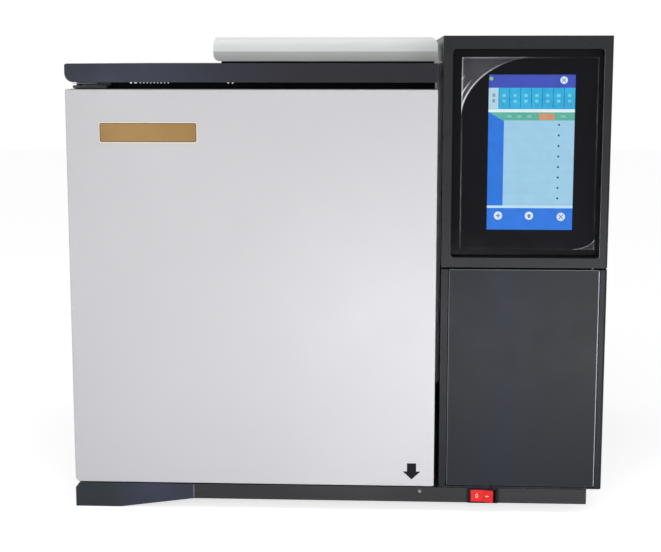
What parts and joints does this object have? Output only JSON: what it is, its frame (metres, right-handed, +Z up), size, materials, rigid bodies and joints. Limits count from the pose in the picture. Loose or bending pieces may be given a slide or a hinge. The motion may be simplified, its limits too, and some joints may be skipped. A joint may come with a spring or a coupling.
{
  "type": "gas chromatograph",
  "caption": "Bench gas chromatograph: column oven with hinged door, detector hood on a dark deck, and a control tower with touch display, gas knobs and mains switch.",
  "frame": {"origin": "bottom centre of the whole instrument, on the bench", "axes": "+X to the right as seen from the front, +Y to the rear, +Z up; front faces -Y"},
  "size_m": [0.542, 0.5036, 0.483],
  "materials": {
    "white_coat": "pale grey powder coat, fine texture",
    "dark_coat": "dark grey powder coat, fine texture",
    "bezel_plastic": "dark moulded plastic",
    "base_coat": "dark base enamel",
    "foot_plastic": "dark moulded plastic",
    "hood_coat": "light grey coat",
    "rubber": "matt rubber",
    "gasket_rope": "woven glass rope",
    "stainless": "brushed stainless",
    "zinc_steel": "zinc plated",
    "spring_steel": "spring steel",
    "bright_steel": "turned steel",
    "wool": "mineral wool board",
    "fan_steel": "pressed stainless",
    "motor_coat": "black enamel",
    "heater_wire": "oxidised heater sheath",
    "column_polyimide": "amber polyimide coat",
    "injector_steel": "turned stainless",
    "glass": "dark cover glass",
    "lcd": "lit display",
    "board": "circuit board",
    "brass": "turned brass",
    "knob_plastic": "black knob",
    "core_steel": "varnished laminations",
    "fan_plastic": "black fan plastic",
    "socket_plastic": "black socket",
    "switch_red": "red rocker"
  },
  "bodies": {
    "chassis": {"base_tray": "base_coat", "skirt_front": "base_coat", "skirt_foot_left": "foot_plastic", "rubber_feet": "rubber", "side_panel_left": "dark_coat", "side_panel_right": "dark_coat", "oven_front_frame": "zinc_steel", "top_deck": "dark_coat", "oven_liner": "stainless", "oven_insulation": "wool", "oven_casing": "zinc_steel", "oven_fan_motor": "motor_coat", "oven_heater": "heater_wire", "oven_baffle": "stainless", "column_cage": "stainless", "capillary_column": "column_polyimide", "temperature_probe": "bright_steel", "latch_spring": "spring_steel", "oven_hinge_brackets": "zinc_steel", "hood_hinge_posts": "zinc_steel", "hood_seat": "dark_coat", "injectors": "injector_steel", "septum_nuts": "injector_steel", "flame_detector": "injector_steel", "thermal_detector": "injector_steel", "screen_bezel": "bezel_plastic", "display_glass": "glass", "display_panel": "lcd", "control_board": "board", "tower_cover": "dark_coat", "service_frame": "dark_coat", "service_hinge_pins": "zinc_steel", "gas_panel": "stainless", "pressure_regulators": "brass", "switch_body": "socket_plastic", "power_transformer": "core_steel", "main_board": "board", "cooling_fan_frame": "fan_plastic", "exhaust_duct": "zinc_steel", "rear_panel": "dark_coat", "gas_fittings": "brass", "power_inlet": "socket_plastic", "data_port": "socket_plastic", "tower_rear_panel": "dark_coat", "cover_screws": "zinc_steel"},
    "oven_door": {"door_skin": "white_coat", "door_insulation": "wool", "door_liner": "stainless", "door_gasket": "gasket_rope", "door_strike": "bright_steel"},
    "hood": {"hood_lid": "hood_coat"},
    "service_door": {"service_door": "dark_coat"},
    "carrier_knob": {"carrier_knob": "knob_plastic"},
    "hydrogen_knob": {"hydrogen_knob": "knob_plastic"},
    "air_knob": {"air_knob": "knob_plastic"},
    "release_button": {"release_button": "bright_steel"},
    "switch_rocker": {"switch_rocker": "switch_red"},
    "oven_fan": {"oven_fan": "fan_steel"},
    "cooling_fan": {"cooling_fan_rotor": "fan_plastic"},
    "exhaust_flap": {"exhaust_flap": "zinc_steel"}
  },
  "joints": [
    {"name": "oven_door_hinge", "type": "hinge", "parent": "chassis", "child": "oven_door", "pos_m": [-0.267, -0.21021, 0.2285], "axis": [0, 0, -1], "range_deg": [0, 105]},
    {"name": "hood_hinge", "type": "hinge", "parent": "chassis", "child": "hood", "pos_m": [-0.01325, 0.04029, 0.4654], "axis": [-1, 0, 0], "range_deg": [0, 75]},
    {"name": "service_door_hinge", "type": "hinge", "parent": "chassis", "child": "service_door", "pos_m": [0.2562, -0.24321, 0.1402], "axis": [0, 0, 1], "range_deg": [0, 110]},
    {"name": "release_button_press", "type": "slide", "parent": "chassis", "child": "release_button", "axis": [0, 1, 0], "range_m": [0, 0.004], "stiffness_N_per_m": 500, "springref_m": -0.002, "deforming": ["latch_spring"]},
    {"name": "switch_rocker_tilt", "type": "hinge", "parent": "chassis", "child": "switch_rocker", "pos_m": [0.15075, -0.24281, 0.0177], "axis": [0, 0, 1], "range_deg": [0, 20]},
    {"name": "oven_fan_spin", "type": "hinge", "parent": "chassis", "child": "oven_fan", "pos_m": [-0.08525, 0.00729, 0.2298], "axis": [0, -1, 0], "continuous": true},
    {"name": "cooling_fan_spin", "type": "hinge", "parent": "chassis", "child": "cooling_fan", "pos_m": [0.18825, 0.23229, 0.33], "axis": [0, 1, 0], "continuous": true},
    {"name": "exhaust_flap_turn", "type": "hinge", "parent": "chassis", "child": "exhaust_flap", "pos_m": [-0.16925, 0.19829, 0.3138], "axis": [1, 0, 0], "range_deg": [0, 80]},
    {"name": "carrier_knob_turn", "type": "hinge", "parent": "chassis", "child": "carrier_knob", "pos_m": [0.18825, -0.20021, 0.078], "axis": [0, -1, 0], "range_deg": [0, 720]},
    {"name": "hydrogen_knob_turn", "type": "hinge", "parent": "chassis", "child": "hydrogen_knob", "pos_m": [0.18825, -0.20021, 0.14], "axis": [0, -1, 0], "range_deg": [0, 720]},
    {"name": "air_knob_turn", "type": "hinge", "parent": "chassis", "child": "air_knob", "pos_m": [0.18825, -0.20021, 0.202], "axis": [0, -1, 0], "range_deg": [0, 720]}
  ]
}
